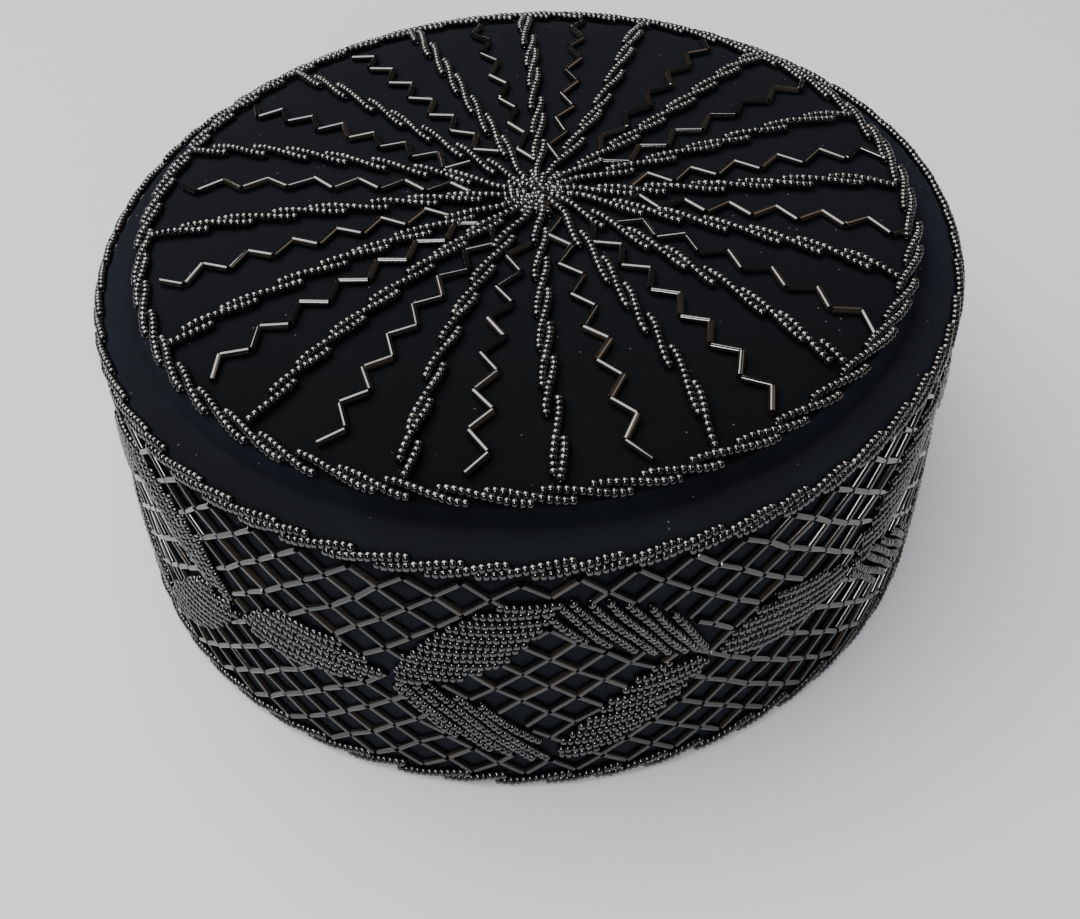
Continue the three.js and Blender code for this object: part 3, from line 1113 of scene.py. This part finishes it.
# %% The lattice, and the part of each side that shows
COLUMNS = 57
ROWS = 14
NET_TOP = 65.4
NET_FOOT = 4.4
LEVELS = np.linspace(NET_TOP, NET_FOOT, ROWS + 1)
FIRST_COLUMN = -2.9
TRIED_SHARES = np.linspace(0, 1, 13)
POINT_STRAY = 0.25
SHORTEST_SHARE = 0.3
TUCKED_SHARE = 0.13


def net_points(chance):
    """(angle, level) of the lattice's points by level and column, each a little astray."""
    shift = 0.5 * (np.arange(len(LEVELS)) % 2)
    angles = FIRST_COLUMN + 360 / COLUMNS * (np.arange(COLUMNS) + shift[:, None])
    points = np.stack([angles, LEVELS[:, None] + 0 * angles], axis=-1)
    return points + chance.uniform(-POINT_STRAY, POINT_STRAY, points.shape) / [DEGREE, 1]


def trimmed(first, last):
    """The part of a lattice side that shows, with its tucked ends, or None if it is short."""
    last = np.array([first[0] + (last[0] - first[0] + 180) % 360 - 180, last[1]])
    clear = [share for share in TRIED_SHARES if not covered(first + (last - first) * share)]
    if not clear or clear[-1] - clear[0] < SHORTEST_SHARE:
        return None
    kept = np.clip([clear[0] - TUCKED_SHARE, clear[-1] + TUCKED_SHARE], 0, 1)
    return first + np.outer(kept, last - first)


print("sides in the whole lattice:", 2 * COLUMNS * ROWS)


# %% Sew the net
def net_threads(chance):
    """Two sides go down from each point, to the points of the next level."""
    points = net_points(chance)
    threads = []
    for row in range(ROWS):
        left = -1 if row % 2 == 0 else 0
        for column in range(COLUMNS):
            for side in (left, left + 1):
                kept = trimmed(points[row, column], points[row + 1, (column + side) % COLUMNS])
                if kept is not None:
                    threads.append(on_wall(kept[:, 0], kept[:, 1], np.full(2, TUBE_RADIUS)))
    return threads


threads = net_threads(np.random.default_rng(9))
net = sew("tube_net", threads, tubes=True, seed=9)
print("net:", len(threads), "tube beads,", len(net.data.polygons), "faces")

for master in (seed_bead, tube_bead):
    bpy.data.objects.remove(master)

# %% [markdown]
# ## Floor and light
# Black glass shows only what it reflects, and black velvet only what falls on it, so each
# gets its own light. Three panels are seen in reflections alone: a large one above on the
# left gives each bead its bright spot and each tube bead its long line, a small warm one
# tints the right, and a small strong one in front makes the sparks. Two broad panels light
# the cloth and the floor without showing in the glass. The pale floor lights the side from
# below, and a faint pale sky fills the rest.


# %% Floor
FLOOR_HALF = 6


def pale_floor():
    """A plain pale floor under the rim, which is only staging."""
    half = FLOOR_HALF
    mesh = bpy.data.meshes.new("floor")
    mesh.from_pydata([(-half, -half, 0), (half, -half, 0), (half, half, 0), (-half, half, 0)],
                     [], [(0, 1, 2, 3)])
    floor = bpy.data.objects.new("floor", mesh)
    bpy.context.scene.collection.objects.link(floor)
    material = new_material("pale_floor", (0.78, 0.78, 0.79), roughness=0.7)[0]
    mesh.materials.append(material)
    print("floor:", 2 * half, "m across")


pale_floor()

# %% Light
AIM = Vector((0, 0, 0.04))
WHITE = (1, 1, 1)


def panel(name, where, size, power, colour):
    """A soft square light that faces the cap, with its size in metres and power in watts."""
    data = bpy.data.lights.new(name, "AREA")
    data.size = size
    data.energy = power
    data.color = colour
    light = bpy.data.objects.new(name, data)
    light.location = where
    light.rotation_mode = "QUATERNION"
    light.rotation_quaternion = (Vector(where) - AIM).to_track_quat("Z", "Y")
    bpy.context.scene.collection.objects.link(light)
    return light


key = panel("key_left", (-0.4, 0.3, 1.1), size=1.1, power=37, colour=(1, 0.99, 0.98))
warm = panel("warm_right", (0.75, 0.35, 0.9), size=0.5, power=2, colour=(1, 0.74, 0.52))
spark = panel("spark_front", (-0.25, -0.9, 1.1), size=0.3, power=9, colour=WHITE)
for light in (key, warm, spark):
    light.visible_diffuse = False

overhead = panel("overhead_cloth", (-0.5, 0.15, 1.5), size=1.9, power=42, colour=WHITE)
front = panel("front_cloth", (0.1, -1.9, 1.0), size=2.4, power=41, colour=(0.94, 0.97, 1))
for light in (overhead, front):
    light.visible_glossy = False

world = bpy.data.worlds.new("pale_sky")
world.use_nodes = True
sky = world.node_tree.nodes["Background"]
sky.inputs["Color"].default_value = (0.86, 0.89, 0.93, 1)
sky.inputs["Strength"].default_value = 0.06
bpy.context.scene.world = world
print("glass lights:", key.name, warm.name, spark.name, "cloth lights:", overhead.name, front.name)

# %% [markdown]
# ## Camera
# The camera stands in front of the cap and looks down on it. It is also rolled a little, so
# its axes are worked out first: straight right, up and back for the downward look, then
# right and up turned about the line of sight.

# %% Camera
LENS = 41.28
SENSOR = 36
DOWN = 47.985
ROLL = -3.7833
CAMERA_PLACE = (0.00266, -0.2200, 0.2381)
camera_data = bpy.data.cameras.new("camera")
camera_data.sensor_fit = "HORIZONTAL"
camera_data.sensor_width = SENSOR
camera_data.lens = LENS
camera = bpy.data.objects.new("camera", camera_data)
down = math.radians(DOWN)
roll = math.radians(ROLL)
right = Vector((1, 0, 0))
up = Vector((0, math.sin(down), math.cos(down)))
back = Vector((0, -math.cos(down), math.sin(down)))
tilted_right = math.cos(roll) * right + math.sin(roll) * up
tilted_up = -math.sin(roll) * right + math.cos(roll) * up
matrix = camera.matrix_world.copy()
matrix.col[0][:3] = tilted_right
matrix.col[1][:3] = tilted_up
matrix.col[2][:3] = back
matrix.col[3][:3] = CAMERA_PLACE
camera.matrix_world = matrix
bpy.context.scene.collection.objects.link(camera)
bpy.context.scene.camera = camera
print("camera at", [round(value, 4) for value in camera.matrix_world.translation])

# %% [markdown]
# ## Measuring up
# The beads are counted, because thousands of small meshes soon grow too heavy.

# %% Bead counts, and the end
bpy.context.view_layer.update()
beaded = [piece for piece in bpy.data.objects
          if piece.type == "MESH" and "bead_tone" in piece.data.attributes]
triangles = [2 * len(piece.data.polygons) for piece in beaded]
print("beaded pieces:", len(beaded), "triangles:", sum(triangles), "most in one:", max(triangles))
